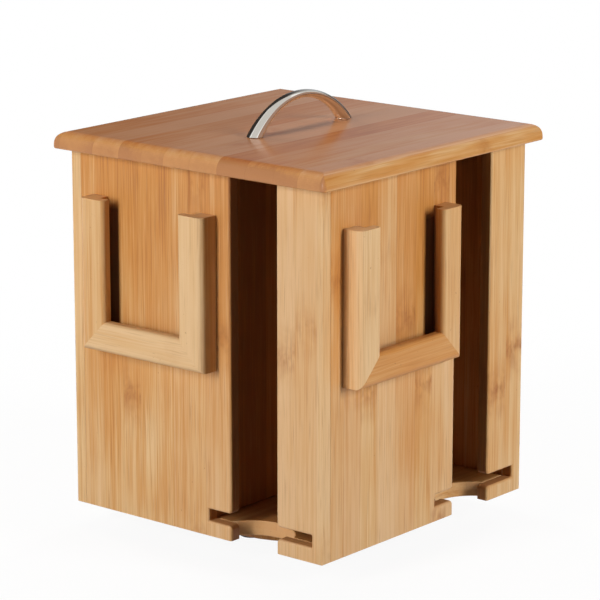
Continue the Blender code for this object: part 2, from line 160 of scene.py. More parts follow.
def connect(shader, socket, wire):
    wire.tree.links.new(wire.output, shader.inputs[socket])


def object_place(start):
    """Where a point is on its piece, in millimetres."""
    place = start.node("ShaderNodeTexCoord", take=3)
    return place.node("ShaderNodeVectorMath", {"operation": "SCALE"}, {0: place, "Scale": MILLIMETRES})


def noise(place, scale, detail=2.0, roughness=0.5):
    values = {"Vector": place, "Scale": scale, "Detail": detail, "Roughness": roughness}
    return place.node("ShaderNodeTexNoise", {}, values)


def relief(shader, height, strength, depth):
    """Let a height, from 0 to 1, stand proud by a depth in metres."""
    bump = height.node("ShaderNodeBump", {}, {"Strength": strength, "Distance": depth, "Height": height})
    connect(shader, "Normal", bump)


def rubber(name):
    """Matt moulded rubber: a faint fine grain and dusty patches."""
    material, shader, start = new_material(name)
    place = object_place(start)
    dust = noise(place, scale=0.35, detail=4.0)
    grain = noise(place, scale=6.0)
    connect(shader, "Base Color", (dust * 0.5).mix((*FOOT_COLOUR, 1), (*FOOT_DUST, 1)))
    connect(shader, "Roughness", 0.7 + dust * 0.2)
    relief(shader, grain, strength=0.3, depth=0.0001)
    return material


def as_mesh(bm, name):
    """Keep what was modelled as a mesh."""
    mesh = bpy.data.meshes.new(name)
    bm.to_mesh(mesh)
    bm.free()
    return mesh


def new_object(name, data):
    """An object in the scene."""
    made = bpy.data.objects.new(name, data)
    bpy.context.collection.objects.link(made)
    return made


def applied(blank):
    """The mesh of an object with its modifiers applied; the object itself goes."""
    shape = blank.evaluated_get(bpy.context.evaluated_depsgraph_get())
    mesh = bpy.data.meshes.new_from_object(shape)
    bpy.data.objects.remove(blank)
    return mesh


def turned(profile, steps):
    """Spin (radius, height) points round Z into a mesh that is smooth but for its sharp edges."""
    bm = bmesh.new()
    points = [bm.verts.new((radius, 0, height)) for radius, height in profile]
    edges = [bm.edges.new(pair) for pair in zip(points, points[1:])]
    bmesh.ops.spin(bm, geom=points + edges, axis=(0, 0, 1), cent=(0, 0, 0), steps=steps, angle=math.tau,
                   use_merge=True)
    bmesh.ops.remove_doubles(bm, verts=bm.verts, dist=SAME_PLACE)
    bmesh.ops.recalc_face_normals(bm, faces=bm.faces)
    mesh = as_mesh(bm, "turned")
    mesh.shade_smooth()
    mesh.set_sharp_from_angle(angle=TURNED_SHARP)
    return mesh


def arc(centre, radius, start, end, steps):
    """Points on an arc in a plane, from one angle to another."""
    angles = [start + (end - start) * i / steps for i in range(steps + 1)]
    return [(centre[0] + radius * math.cos(a), centre[1] + radius * math.sin(a)) for a in angles]


def nodes_tree(name, inputs):
    """A Geometry Nodes tree with named inputs; hands back the tree, a wire for each input and a closer."""
    tree = bpy.data.node_groups.new(name, "GeometryNodeTree")
    for label, kind in inputs:
        tree.interface.new_socket(label, in_out="INPUT", socket_type=kind)
    tree.interface.new_socket("Geometry", in_out="OUTPUT", socket_type="NodeSocketGeometry")
    entry = tree.nodes.new("NodeGroupInput")
    given = {label: Wire(tree, entry.outputs[label]) for label, kind in inputs}

    def close(geometry):
        real = geometry.node("GeometryNodeRealizeInstances", {}, {0: geometry})
        painted = real.node("GeometryNodeSetMaterial", {}, {"Geometry": real, "Material": given["Material"]})
        tree.links.new(painted.output, tree.nodes.new("NodeGroupOutput").inputs[0])

    return tree, given, close


def grown(name, tree, values):
    """Run a Geometry Nodes tree with its inputs set, and keep the result as a plain mesh piece."""
    seed = new_object(name + "_seed", bpy.data.meshes.new(name))
    modifier = seed.modifiers.new("grow", "NODES")
    modifier.node_group = tree
    for item in tree.interface.items_tree:
        if item.in_out == "INPUT":
            modifier[item.identifier] = values[item.name]
    return new_object(name, applied(seed))


ring_tree, ring, close_ring = nodes_tree("ring of like pieces", [
    ("Piece", "NodeSocketObject"), ("Count", "NodeSocketInt"), ("Radius", "NodeSocketFloat"),
    ("Height", "NodeSocketFloat"), ("Start Angle", "NodeSocketFloat"), ("Material", "NodeSocketMaterial")])
number = ring["Count"].node("GeometryNodeInputIndex")
angle = ring["Start Angle"] + number / ring["Count"] * math.tau
place = (angle.maths("COSINE", angle) * ring["Radius"]).vector(angle.maths("SINE", angle) * ring["Radius"],
                                                               ring["Height"])
stands = place.node("GeometryNodePoints", {}, {"Count": ring["Count"], "Position": place})
single = place.node("GeometryNodeObjectInfo", {}, {"Object": ring["Piece"]}, take=4)
close_ring(stands.node("GeometryNodeInstanceOnPoints", {}, {"Points": stands, "Instance": single}))


def ring_of(name, mesh, nodes, body, material):
    """Copies of one mesh where the CAD nodes of that ring stand; the mesh's zero goes to their middles."""
    boxes = [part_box(node) for node in nodes]
    middles = [(low + high) / 2 for low, high in boxes]
    one = bpy.data.objects.new(name + "_single", mesh)
    piece = grown(name, ring_tree, {
        "Piece": one, "Count": len(nodes), "Radius": math.hypot(middles[0].x, middles[0].y),
        "Height": middles[0].z, "Start Angle": math.atan2(middles[0].y, middles[0].x), "Material": material})
    bpy.data.objects.remove(one)
    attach(piece, body)
    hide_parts(*nodes)
    return piece


foot_nodes = [f"foot_{i}" for i in range(1, 5)]
foot_low, foot_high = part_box("foot_1")
foot_radius = (foot_high.x - foot_low.x) / 2
foot_half = (foot_high.z - foot_low.z) / 2
foot_profile = [(0, foot_half), (foot_radius, foot_half)]
foot_profile += arc((foot_radius - FOOT_RIM, FOOT_RIM - foot_half), FOOT_RIM, 0, -math.pi / 2, FOOT_RIM_STEPS)
foot_profile += [(0, -foot_half)]
ring_of("feet", turned(foot_profile, FOOT_STEPS), foot_nodes, "base", rubber("foot_rubber"))

# Base disc: a round of bamboo board, sanded and left plain, with an access hole for the bearing screws.
# It stands still on the feet and carries the lower bearing plate.
DARK_BAMBOO = (0.400, 0.150, 0.042)
AMBER_BAMBOO = (0.560, 0.236, 0.054)
GOLD_BAMBOO = (0.615, 0.310, 0.100)
STRAW_BAMBOO = (0.685, 0.425, 0.195)
PALE_BAMBOO = (0.740, 0.505, 0.265)
FIBRE_BROWN = (0.300, 0.105, 0.030)
KNUCKLE_BROWN = (0.270, 0.085, 0.024)
ROSY_BAMBOO = (0.640, 0.345, 0.175)
PAINTED_SHADE_BROWN = (0.075, 0.020, 0.007)
STREAK_WIDTH = 3.4
NARROW_FIBRE = (0.9, 55.0)
FIBRE_BUNDLE = (0.55, 24.0)
FIBRE_ROUGHNESS = 0.55
SWAY_MARK = (7.0, 55.0)
SWAY = 0.9
SWAY_AT_KNUCKLE = 4.0
DENSE_MARK = (11.0, 60.0)
CLOUD_MARK = (38.0, 60.0)
BLUSH_MARK = (6.0, 9.0)
SPECKLE_MARK = (2.6, 4.5)
FLECK_MARK = (1.1, 1.7)
KNUCKLE_GAP = 170.0
KNUCKLE_REACH = 18.0
KNUCKLE_CORE = 8.0
KNUCKLE_WAVE_WIDTH = 5.0
KNUCKLE_WAVE = 12.0
SLAT_DRIFT_WIDTH = 50.0
SLAT_DRIFT = 1.6
LAYER_DRIFT = 7.3
LAYER_SHIFT = 0.43
SLAT_SHIFT_ACROSS = 83.0
SLAT_SHIFT_ALONG = 517.0
FAR_END_SHADE_LENGTH = 175.0
SEAM_WIDTH = 0.3
GRAIN_DEPTH = 0.00012
WOOD_SHINE = 0.3


def grain_noise(across, depth, along, mark, detail=2.0, roughness=0.5):
    """Noise drawn out along the fibres; a mark is its width and its length, in millimetres."""
    width, length = mark
    return noise((across / width).vector(depth / width, along / length), 1.0, detail, roughness)


def bamboo(name, slat_width, ply, gloss, lively=1.0, spread=0.5, far_end_shade=0.0, knuckles=1.0, fine=1.0,
           streak_length=150.0, end_drop=0.1, stain=None, own_tone=None):
    """Glued bamboo slats of unlike tone, with wavering fibres, short dark bundles and knuckles.

    The board's own paleness, its slats and its fibres add up to one tone from dark to pale. lively weighs all
    fibres and fine the narrow ones, spread is the difference between slats, and the far-end share darkens a
    board towards its far end, painted shade at the top of the walls. A stored share of painted shade darkens
    grooves, rebates, slot sides and the floor's top towards deep brown. Faces cut across the fibres look
    smoother, and darker by end_drop. A stain is its share, its colour and how deep it soaks in, in
    millimetres; on the dividers it is painted shade. A solid with a tone of its own has no stored grain and
    uses its places instead.
    """
    material, shader, start = new_material(name)
    if own_tone is None:
        place = start.node("ShaderNodeAttribute", {"attribute_name": "grain"}, take=1)
        tone = start.node("ShaderNodeAttribute", {"attribute_name": "paleness"}, take=2)
        cut = start.node("ShaderNodeAttribute", {"attribute_name": "cut_across"}, take=2)
        lengthways = 1.0 - cut * 0.85
        tone = tone - cut * end_drop
    else:
        cut = 0.0
        place = object_place(start)
        tone = own_tone
        lengthways = 1.0
    across, depth, along = start.node("ShaderNodeSeparateXYZ", {}, {0: place}, take=(0, 1, 2))
    layer = (depth / ply).floor()
    drift = noise((across / SLAT_DRIFT_WIDTH).vector(layer * LAYER_DRIFT, 0.5), 1.0, detail=0.0)
    position = across / slat_width + drift * SLAT_DRIFT + layer * LAYER_SHIFT
    slat = position.floor()
    dice = start.node("ShaderNodeTexWhiteNoise", {"noise_dimensions": "2D"},
                      {"Vector": slat.vector(layer, 0.0)}, take=1)
    own, shift, weight = start.node("ShaderNodeSeparateColor", {}, {0: dice}, take=(0, 1, 2))
    own_across = across + shift * SLAT_SHIFT_ACROSS
    own_along = along + own * SLAT_SHIFT_ALONG

    wave = noise((own_across / KNUCKLE_WAVE_WIDTH).vector(depth / KNUCKLE_WAVE_WIDTH, own), 1.0) - 0.5
    between_knuckles = ((along + wave * KNUCKLE_WAVE) / KNUCKLE_GAP + shift).fraction()
    from_knuckle = (between_knuckles - 0.5).size() * KNUCKLE_GAP
    near_knuckle = from_knuckle.fading(KNUCKLE_REACH)
    at_knuckle = from_knuckle.fading(KNUCKLE_CORE)

    sway = grain_noise(own_across, depth, own_along, SWAY_MARK) - 0.5
    bent = own_across + sway * (SWAY + near_knuckle * SWAY_AT_KNUCKLE)
    streak = (STREAK_WIDTH, streak_length)
    broad = grain_noise(bent, depth, own_along, streak, roughness=FIBRE_ROUGHNESS) - 0.5
    broad = broad * lengthways
    narrow = grain_noise(bent, depth, own_along, NARROW_FIBRE, 3.0, FIBRE_ROUGHNESS) - 0.5
    narrow = narrow * lengthways
    bundle = grain_noise(bent, depth, own_along, FIBRE_BUNDLE, 1.0, FIBRE_ROUGHNESS)
    dense = grain_noise(own_across, depth, own_along, DENSE_MARK)
    cloud = grain_noise(across, depth, along, CLOUD_MARK) - 0.5

    tone = tone + (own - 0.5) * (spread * (0.3 + lengthways * 0.7)) + (broad * 0.95 + cloud * 0.75) * lively
    tone = tone + narrow * dense * (2.0 * lively * fine) - near_knuckle * (0.03 + weight * 0.15) * knuckles
    # Painted shade: the walls darken towards their top, under the lid.
    tone = tone - far_end_shade * (along / FAR_END_SHADE_LENGTH).clamp()
    stops = [(0.0, DARK_BAMBOO), (0.28, AMBER_BAMBOO), (0.52, GOLD_BAMBOO), (0.78, STRAW_BAMBOO),
             (1.0, PALE_BAMBOO)]
    colour = tone.node("ShaderNodeValToRGB", {"stops": stops}, {0: tone})
    colour = (shift * tone.clamp() * (0.45 * lively) + cut * 0.25).mix(colour, (*ROSY_BAMBOO, 1))
    bundles = bundle.above(0.55, 6.0) * dense.above(0.30, 3.5) * lengthways
    colour = (bundles * (0.42 * lively * fine)).mix(colour, (*FIBRE_BROWN, 1))
    glints = bundle.below(0.42, 6.0) * dense.below(0.68, 3.5) * lengthways
    colour = (glints * (0.4 * lively * fine)).mix(colour, (*PALE_BAMBOO, 1))
    blush = grain_noise(own_across, depth, own_along, BLUSH_MARK)
    blush = near_knuckle * blush.above(0.40, 4.0) * weight * weight * knuckles
    colour = (blush * 0.75).mix(colour, (*DARK_BAMBOO, 1))
    speckle = grain_noise(bent, depth, along, SPECKLE_MARK)
    smudge = at_knuckle * speckle.above(0.45, 3.5) * weight * weight * knuckles
    colour = (smudge * 0.6).mix(colour, (*KNUCKLE_BROWN, 1))
    fleck = grain_noise(own_across, depth, own_along, FLECK_MARK, 0.0).above(0.84, 12.0)
    colour = (fleck * 0.5).mix(colour, (*KNUCKLE_BROWN, 1))
    beside = position.fraction()
    seam = beside.lower(1.0 - beside).fading(SEAM_WIDTH / slat_width)
    colour = (seam * 0.16).mix(colour, (*FIBRE_BROWN, 1))

    sheen = gloss + narrow * (0.2 * fine) + smudge * 0.1
    if own_tone is None:
        # Painted shade: a stored share darkens grooves, rebates, slot sides and the floor's top towards deep
        # brown.
        shade_amount = start.node("ShaderNodeAttribute", {"attribute_name": "scorched"}, take=2)
        colour = shade_amount.mix(colour, (*PAINTED_SHADE_BROWN, 1))
        sheen = sheen + shade_amount * 0.4
    if stain:
        share, brown, reach = stain
        colour = (depth.fading(reach) * share).mix(colour, (*brown, 1))
    connect(shader, "Base Color", colour)
    connect(shader, "Roughness", sheen)
    relief(shader, narrow - bundles * 0.3 - seam * 0.3 - smudge * 0.3, 0.3 * fine, GRAIN_DEPTH)
    shader.inputs["Specular IOR Level"].default_value = WOOD_SHINE
    return material


plain_bamboo = bamboo("base_bamboo", slat_width=15.0, ply=2.1, gloss=0.55, own_tone=0.35)


def paint(node, material):
    """Give a CAD node that stays in view its material."""
    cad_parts[node].data.materials.clear()
    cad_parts[node].data.materials.append(material)


paint("base_disc", plain_bamboo)

# Bearing: two pressed plates of zinc plated steel, held by a centre rivet, with balls in a nylon cage.
# The lower plate is screwed to the base disc and the upper one to the floor of the box.
ZINC_DULL = (0.44, 0.44, 0.43)
ZINC_BRIGHT = (0.672, 0.672, 0.660)
NYLON_COLOUR = (0.72, 0.70, 0.63)
NYLON_SHADE = 0.88
BALL_SEGMENTS = 32
BALL_RINGS = 18
SCREW_STEPS = 24
DOME_STEPS = 6
SHANK_SHARE = 0.54
CROSS_WIDTH = 0.0007
CROSS_REACH = 1.2
PLATE_SCREW_RADIUS = 0.0024
PLATE_SCREW_HEAD = 0.0012


def zinc(name, roughness):
    """Bright zinc on steel: grey crystal patches and fine scratches."""
    material, shader, start = new_material(name)
    place = object_place(start)
    patch = noise(place, scale=0.5, detail=4.0)
    scratch = noise(place, scale=9.0)
    connect(shader, "Base Color", patch.mix((*ZINC_DULL, 1), (*ZINC_BRIGHT, 1)))
    connect(shader, "Roughness", roughness + (patch - 0.5) * 0.2)
    relief(shader, scratch, strength=0.15, depth=0.00005)
    shader.inputs["Metallic"].default_value = 1.0
    return material


def nylon(name):
    """Milky moulded nylon with slight flow marks."""
    material, shader, start = new_material(name)
    place = object_place(start)
    flow = noise(place, scale=0.22, detail=3.0)
    shade = [channel * NYLON_SHADE for channel in NYLON_COLOUR]
    connect(shader, "Base Color", flow.mix((*shade, 1), (*NYLON_COLOUR, 1)))
    connect(shader, "Roughness", 0.42 + flow * 0.16)
    shader.inputs["Subsurface Weight"].default_value = 0.1
    shader.inputs["Subsurface Scale"].default_value = 0.001
    return material


def ball(radius):
    bm = bmesh.new()
    bmesh.ops.create_uvsphere(bm, u_segments=BALL_SEGMENTS, v_segments=BALL_RINGS, radius=radius)
    mesh = as_mesh(bm, "ball")
    mesh.shade_smooth()
    return mesh


def screw(node, head_radius, head, upwards):
    """A round-headed screw as long as a CAD node, its zero in the middle; the head has a cross recess."""
    low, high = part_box(node)
    half = (high.z - low.z) / 2
    radius = head_radius * SHANK_SHARE
    angles = [math.pi / 2 * i / DOME_STEPS for i in range(DOME_STEPS + 1)]
    dome = [(head_radius * math.sin(a), half - head / 2 + head / 2 * math.cos(a)) for a in angles]
    profile = dome + [(head_radius, half - head), (radius, half - head), (radius, radius - half), (0, -half)]
    body = new_object("screw_blank", turned(profile, SCREW_STEPS))
    bm = bmesh.new()
    length = CROSS_REACH * head_radius
    for scale in ((length, CROSS_WIDTH, head), (CROSS_WIDTH, length, head)):
        bmesh.ops.create_cube(bm, size=1.0, matrix=Matrix.LocRotScale((0, 0, half), None, scale))
    cross = new_object("cross_recess", as_mesh(bm, "cross_recess"))
    cut = body.modifiers.new("recess", "BOOLEAN")
    cut.object = cross
    cut.use_self = True
    mesh = applied(body)
    bpy.data.objects.remove(cross)
    if not upwards:
        mesh.transform(Matrix.Rotation(math.pi, 4, "X"))
    return mesh


bright_zinc = zinc("bright_zinc", 0.34)
for node in ("lower_plate", "upper_plate", "centre_rivet"):
    paint(node, bright_zinc)
paint("ball_cage", nylon("cage_nylon"))
ball_nodes = [f"ball_{i}" for i in range(1, 9)]
ball_low, ball_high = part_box("ball_1")
ring_of("bearing_balls", ball((ball_high.z - ball_low.z) / 2), ball_nodes, "ball_cage",
        zinc("polished_steel", 0.16))
for label, body, upwards in (("lower_plate_screw", "base", True), ("upper_plate_screw", "carousel", False)):
    screw_nodes = [f"{label}_{i}" for i in range(1, 5)]
    mesh = screw(screw_nodes[0], PLATE_SCREW_RADIUS, PLATE_SCREW_HEAD, upwards)
    ring_of(label + "s", mesh, screw_nodes, body, bright_zinc)

# Floor board: one square of laminated bamboo with a finger scoop cut in each side below the slot.
# Panels and strips are glued round its edge, and the bearing is screwed to its underside.
EDGE_EASE = 0.00035
EASE_STEPS = 2
FLOOR_EASE = 0.0006
SCOOP_RADIUS = 0.021
SCOOP_DEPTH = 0.012
SCOOP_STEPS = 28
SHARP = math.radians(35)
TOUCH = 1e-5
FACES = ("front", "right", "back", "left")


def sharp_edges(bm):
    return [edge for edge in bm.edges if len(edge.link_faces) == 2 and edge.calc_face_angle(0.0) > SHARP]


def ease(bm, edges, width, steps):
    bmesh.ops.bevel(bm, geom=edges, offset=width, segments=steps, profile=0.5, affect="EDGES",
                    clamp_overlap=True)


def loft(rings):
    """Join rings of equally many points into one closed skin, capped at both ends."""
    bm = bmesh.new()
    loops = [[bm.verts.new(point) for point in ring] for ring in rings]
    for low, high in zip(loops, loops[1:]):
        for i in range(len(low)):
            j = (i + 1) % len(low)
            bm.faces.new((low[i], low[j], high[j], high[i]))
    bm.faces.new(list(reversed(loops[0])))
    bm.faces.new(loops[-1])
    bmesh.ops.recalc_face_normals(bm, faces=bm.faces)
    return bm


def wooden(name, bm, grain, pale, material, turn, body, slot, *nodes, shade_at=None, drop=None):
    """Finish a board: store its own grain directions, turn it to its face of the box and fix it to its body.

    grain gives, for a point before the turn, where it lies across the slats, in their depth and along them;
    pale is the board's own paleness. The two functions at the end give, for a point, how much painted shade
    darkens it towards deep brown and how much painted shade makes it less pale than the rest.
    """
    bmesh.ops.recalc_face_normals(bm, faces=bm.faces)
    mesh = as_mesh(bm, name)
    stored = mesh.attributes.new("grain", "FLOAT_VECTOR", "POINT")
    for vertex, value in zip(mesh.vertices, stored.data):
        value.vector = Vector(grain(vertex.co)) * MILLIMETRES
    paleness = mesh.attributes.new("paleness", "FLOAT", "POINT")
    drops = [drop(vertex.co) if drop else 0.0 for vertex in mesh.vertices]
    paleness.data.foreach_set("value", [pale - less for less in drops])
    scorched = mesh.attributes.new("scorched", "FLOAT", "POINT")
    scorched.data.foreach_set("value", [shade_at(vertex.co) if shade_at else 0.0 for vertex in mesh.vertices])
    cut_across = mesh.attributes.new("cut_across", "FLOAT", "FACE")
    for face, value in zip(mesh.polygons, cut_across.data):
        value.value = abs(grain(face.center + face.normal)[2] - grain(face.center)[2])
    mesh.transform(Matrix.Rotation(turn, 4, "Z"))
    mesh.materials.append(material)
    mesh.shade_smooth()
    blank = new_object(name + "_blank", mesh)
    even = blank.modifiers.new("even faces", "WEIGHTED_NORMAL")
    even.mode = "FACE_AREA"
    piece = new_object(name, applied(blank))
    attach(piece, body)
    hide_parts(*nodes)
    return piece


# Painted shade: the dividers are darkened through and through with a brown share and a low paleness, for the
# shade inside the box.
INNER_SHADE = (0.33, (0.140, 0.045, 0.018), 2000.0)
inner_bamboo = bamboo("inner_bamboo", slat_width=16.0, ply=4.0, gloss=0.5, lively=0.7, spread=0.3,
                      knuckles=0.5, stain=INNER_SHADE)
floor_bamboo = bamboo("floor_bamboo", slat_width=16.0, ply=4.0, gloss=0.5, lively=0.7, spread=0.3,
                      knuckles=0.5)
INNER_PALE = 0.16
FLOOR_PALE = 0.68
# Painted shade: the floor's top, in the shade of the walls, is less pale and darkened towards deep brown.
FLOOR_TOP_DROP = 0.4
FLOOR_TOP_SHADE = 0.3
floor_low, floor_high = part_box("floor_board")
slot_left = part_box("front_panel")[1].x
slot_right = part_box("front_strip")[0].x
scoop_drop = SCOOP_RADIUS - SCOOP_DEPTH
scoop_half_angle = math.acos(scoop_drop / SCOOP_RADIUS)
scoop_centre = ((slot_left + slot_right) / 2, floor_low.y - scoop_drop)
side_outline = [(floor_low.x, floor_low.y)]
side_outline += arc(scoop_centre, SCOOP_RADIUS, math.pi / 2 + scoop_half_angle,
                    math.pi / 2 - scoop_half_angle, SCOOP_STEPS)
floor_outline = []
for i in range(len(FACES)):
    quarter = Matrix.Rotation(i * math.pi / 2, 2)
    floor_outline += [quarter @ Vector(point) for point in side_outline]
bm = loft([[(point.x, point.y, height) for point in floor_outline] for height in (floor_low.z, floor_high.z)])
ease(bm, sharp_edges(bm), FLOOR_EASE, EASE_STEPS)


def on_floor_top(amount):
    """An amount on the floor's upper face, and nothing elsewhere."""
    return lambda co: amount if co.z > floor_high.z - TOUCH else 0.0


wooden("floor", bm, lambda co: (co.x, floor_high.z - co.z, co.y), FLOOR_PALE, floor_bamboo, 0.0, "carousel",
       "bamboo_inner", "floor_board", shade_at=on_floor_top(FLOOR_TOP_SHADE),
       drop=on_floor_top(FLOOR_TOP_DROP))

# Walls: on each face a wide panel, an open slot and a corner strip that laps the next face's panel.
# Panel and strip are sawn from laminated bamboo, notched for the mouth, eased at the openings and lacquered.
OPENING_EASE = 0.0012
OPENING_STEPS = 3
EASED_SHARE = 0.6
SLOT_MARGIN = 1e-4
NOTCH_FILLET = 0.002
NOTCH_STEPS = 5
MOUTH_LEFT = 0.0084
MOUTH_RIGHT = 0.0716
MOUTH_HEIGHT = 0.0059


def fillet(before, corner, after, radius, steps):
    """Points that round the corner of an outline."""
    corner = Vector(corner)
    start = corner + (Vector(before) - corner).normalized() * radius
    end = corner + (Vector(after) - corner).normalized() * radius
    centre = start + end - corner
    first = math.atan2(start.y - centre.y, start.x - centre.x)
    sweep = math.atan2(end.y - centre.y, end.x - centre.x) - first
    sweep = (sweep + math.pi) % math.tau - math.pi
    return arc(centre, radius, first, first + sweep, steps)


def notch(before, corner, after):
    return fillet(before, corner, after, NOTCH_FILLET, NOTCH_STEPS)


def board(outline, outer, inner, opening):
    """A board between two depths, cut to an (x, z) outline; opening says which outer edges are hand-eased."""
    bm = loft([[(x, depth, z) for x, z in outline] for depth in (outer, inner)])
    eased = []
    for edge in bm.edges:
        middle = (edge.verts[0].co + edge.verts[1].co) / 2
        on_face = all(abs(vert.co.y - outer) < TOUCH for vert in edge.verts)
        if on_face and opening(middle.x, middle.z):
            eased.append(edge)
    ease(bm, eased, OPENING_EASE, OPENING_STEPS)
    ease(bm, sharp_edges(bm), EDGE_EASE, EASE_STEPS)
    return bm


panel_bamboo = bamboo("panel_bamboo", slat_width=13.0, ply=30.0, gloss=0.42, lively=0.95, spread=0.28,
                      far_end_shade=0.45)
strip_bamboo = bamboo("strip_bamboo", slat_width=14.0, ply=30.0, gloss=0.42, lively=0.9, spread=0.22,
                      far_end_shade=0.12)
PANEL_PALE = {"front": 0.67, "right": 0.86, "back": 0.68, "left": 0.70}
STRIP_PALE = {"front": 0.92, "right": 0.70, "back": 0.76, "left": 0.88}
GRAIN_START = {"front": 0.418, "right": 3.3, "back": 1.31, "left": 1.62}
# Painted shade: the slot's sides are darkened and less pale, and the grooves behind the rails' lips are
# darkened.
SLOT_SHADE = 0.42
SLOT_DROP = 0.5
GROOVE_SHADE = 0.8
CAD_GAP = 0.0003
panel_low, panel_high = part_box("front_panel")
strip_low, strip_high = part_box("front_strip")
mouth_low = floor_high.z
mouth_high = mouth_low + MOUTH_HEIGHT
panel_edge = panel_low.x - CAD_GAP
panel_outline = [(panel_edge, panel_low.z), (slot_left, panel_low.z)]
panel_outline += notch((slot_left, panel_low.z), (slot_left, mouth_low), (MOUTH_LEFT, mouth_low))
panel_outline += [(MOUTH_LEFT, mouth_low), (MOUTH_LEFT, mouth_high)]
panel_outline += notch((MOUTH_LEFT, mouth_high), (slot_left, mouth_high), (slot_left, panel_high.z))
panel_outline += [(slot_left, panel_high.z), (panel_edge, panel_high.z)]
strip_outline = [(slot_right, strip_low.z), (strip_high.x, strip_low.z), (strip_high.x, strip_high.z),
                 (slot_right, strip_high.z)]
strip_outline += notch((slot_right, strip_high.z), (slot_right, mouth_high), (MOUTH_RIGHT, mouth_high))
strip_outline += [(MOUTH_RIGHT, mouth_high), (MOUTH_RIGHT, mouth_low)]
strip_outline += notch((MOUTH_RIGHT, mouth_low), (slot_right, mouth_low), (slot_right, strip_low.z))


def between(low, value, high):
    return low - TOUCH < value < high + TOUCH


def on_slot(x, z):
    upright = panel_low.z + SLOT_MARGIN < z < panel_high.z - SLOT_MARGIN
    return upright and between(MOUTH_LEFT, x, MOUTH_RIGHT)


def behind_face(co):
    return co.y > panel_low.y + OPENING_EASE * EASED_SHARE and on_slot(co.x, co.z)


def slot_drop(co):
    """Painted shade: the sides of slot and mouth are less pale than the lacquered face."""
    return SLOT_DROP if behind_face(co) else 0.0


def slot_shade(co):
    """Painted shade darkens the sides of the slot above its mouth."""
    return SLOT_SHADE if behind_face(co) and co.z > mouth_high - SLOT_MARGIN else 0.0


def panel_shade(co):
    """Besides the slot, painted shade darkens the panel in the grooves behind the two side rails of its card
    holder.
    """
    groove = between(groove_left, co.x, lip_left) or between(lip_right, co.x, groove_right)
    on_face = co.y < panel_low.y + TOUCH
    if groove and on_face and between(groove_foot, co.z, groove_top):
        return GROOVE_SHADE
    return slot_shade(co)


def scored(bm, direction, places):
    """Cut a board's skin along lines, so that a groove's painted shade ends sharply there."""
    for place in places:
        bmesh.ops.bisect_plane(bm, geom=bm.verts[:] + bm.edges[:] + bm.faces[:], plane_co=direction * place,
                               plane_no=direction)


RAIL_REBATE = 0.006
GROOVE_FADE = 0.0005
GROOVE_END = 0.006
holder_low, holder_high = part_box("front_holder_left_rail")
web = holder_high.x - holder_low.x - RAIL_REBATE
groove_left = holder_low.x + web
lip_left = holder_high.x
groove_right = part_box("front_holder_right_rail")[1].x - web
lip_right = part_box("front_holder_right_rail")[0].x
groove_foot = holder_low.z + web
groove_top = holder_high.z - GROOVE_END
upright_cuts = (groove_left - GROOVE_FADE, groove_left, lip_left, lip_left + GROOVE_FADE,
                lip_right - GROOVE_FADE, lip_right, groove_right, groove_right + GROOVE_FADE)
level_cuts = (groove_foot - GROOVE_FADE, groove_foot, groove_top, groove_top + GROOVE_END / 2)
for i, face in enumerate(FACES):
    turn = i * math.pi / 2
    batch = GRAIN_START[face]
    bm = board(panel_outline, panel_low.y, panel_high.y, on_slot)
    scored(bm, Vector((1, 0, 0)), upright_cuts)
    scored(bm, Vector((0, 0, 1)), level_cuts)
    wooden(f"panel_{face}", bm, lambda co: (co.x + batch, co.y - panel_low.y, co.z - panel_low.z),
           PANEL_PALE[face], panel_bamboo, turn, "carousel", "bamboo_panel", f"{face}_panel",
           shade_at=panel_shade, drop=slot_drop)
    bm = board(strip_outline, strip_low.y, strip_high.y, on_slot)
    wooden(f"strip_{face}", bm, lambda co: (co.x + batch, co.y - strip_low.y, co.z - strip_low.z),
           STRIP_PALE[face], strip_bamboo, turn, "carousel", "bamboo_panel", f"{face}_strip",
           shade_at=slot_shade, drop=slot_drop)

# Dividers: four plain bamboo boards in a pinwheel that part the bays, from each panel to the next divider.
# They stand on the floor and stop just below the lid.
PLAIN_EASE = 0.0005
DIVIDER_BATCH = 0.27


def plain_board(low, high):
    """A board between two corners, eased all round."""
    corners = ((low.x, low.y), (high.x, low.y), (high.x, high.y), (low.x, high.y))
    bm = loft([[(x, y, height) for x, y in corners] for height in (low.z, high.z)])
    ease(bm, sharp_edges(bm), PLAIN_EASE, EASE_STEPS)
    return bm


divider_low, divider_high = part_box("front_divider")
for i, face in enumerate(FACES):
    batch = DIVIDER_BATCH * i
    wooden(f"divider_{face}", plain_board(divider_low, divider_high),
           lambda co: (co.y + batch, co.x, co.z + batch), INNER_PALE, inner_bamboo, i * math.pi / 2,
           "carousel", "bamboo_inner", f"{face}_divider")

# Card holders: three bamboo rails on each panel make a U open at the top, mitred at its lower corners.
# Each rail is moulded with a round nose and a rebate behind it, where a flat packet slides in, then glued on.
RAIL_POCKET = 0.0058
RAIL_NOSE = 0.0035
RAIL_INNER_NOSE = 0.0023
NOSE_STEPS = 8
RAIL_END_EASE = 0.0012
RAIL_END_STEPS = 4
SANDED_FROM_WALL = 0.002
RAIL_BATCH = 0.19
LEFT_RAIL_START = 0.05
RIGHT_RAIL_START = 0.11
# Painted shade on the rails' sides, deepest on the right-hand rails.
RAIL_SIDE_DROP = {"left": 0.3, "right": 0.55, "bottom": 0.3}
MITRE_EASE = 0.00015
MITRE_GAP = 0.0002


def rail_section(width, depth):
    """Section as (from the outer side, from the wall): a rebate at the wall, a round nose in front."""
    pocket = RAIL_POCKET - CAD_GAP
    section = [(0, 0), (web, 0), (web, pocket), (width, pocket)]
    section += fillet((width, pocket), (width, depth), (0, depth), RAIL_INNER_NOSE, NOSE_STEPS)
    section += fillet((width, depth), (0, depth), (0, 0), RAIL_NOSE, NOSE_STEPS)
    return section


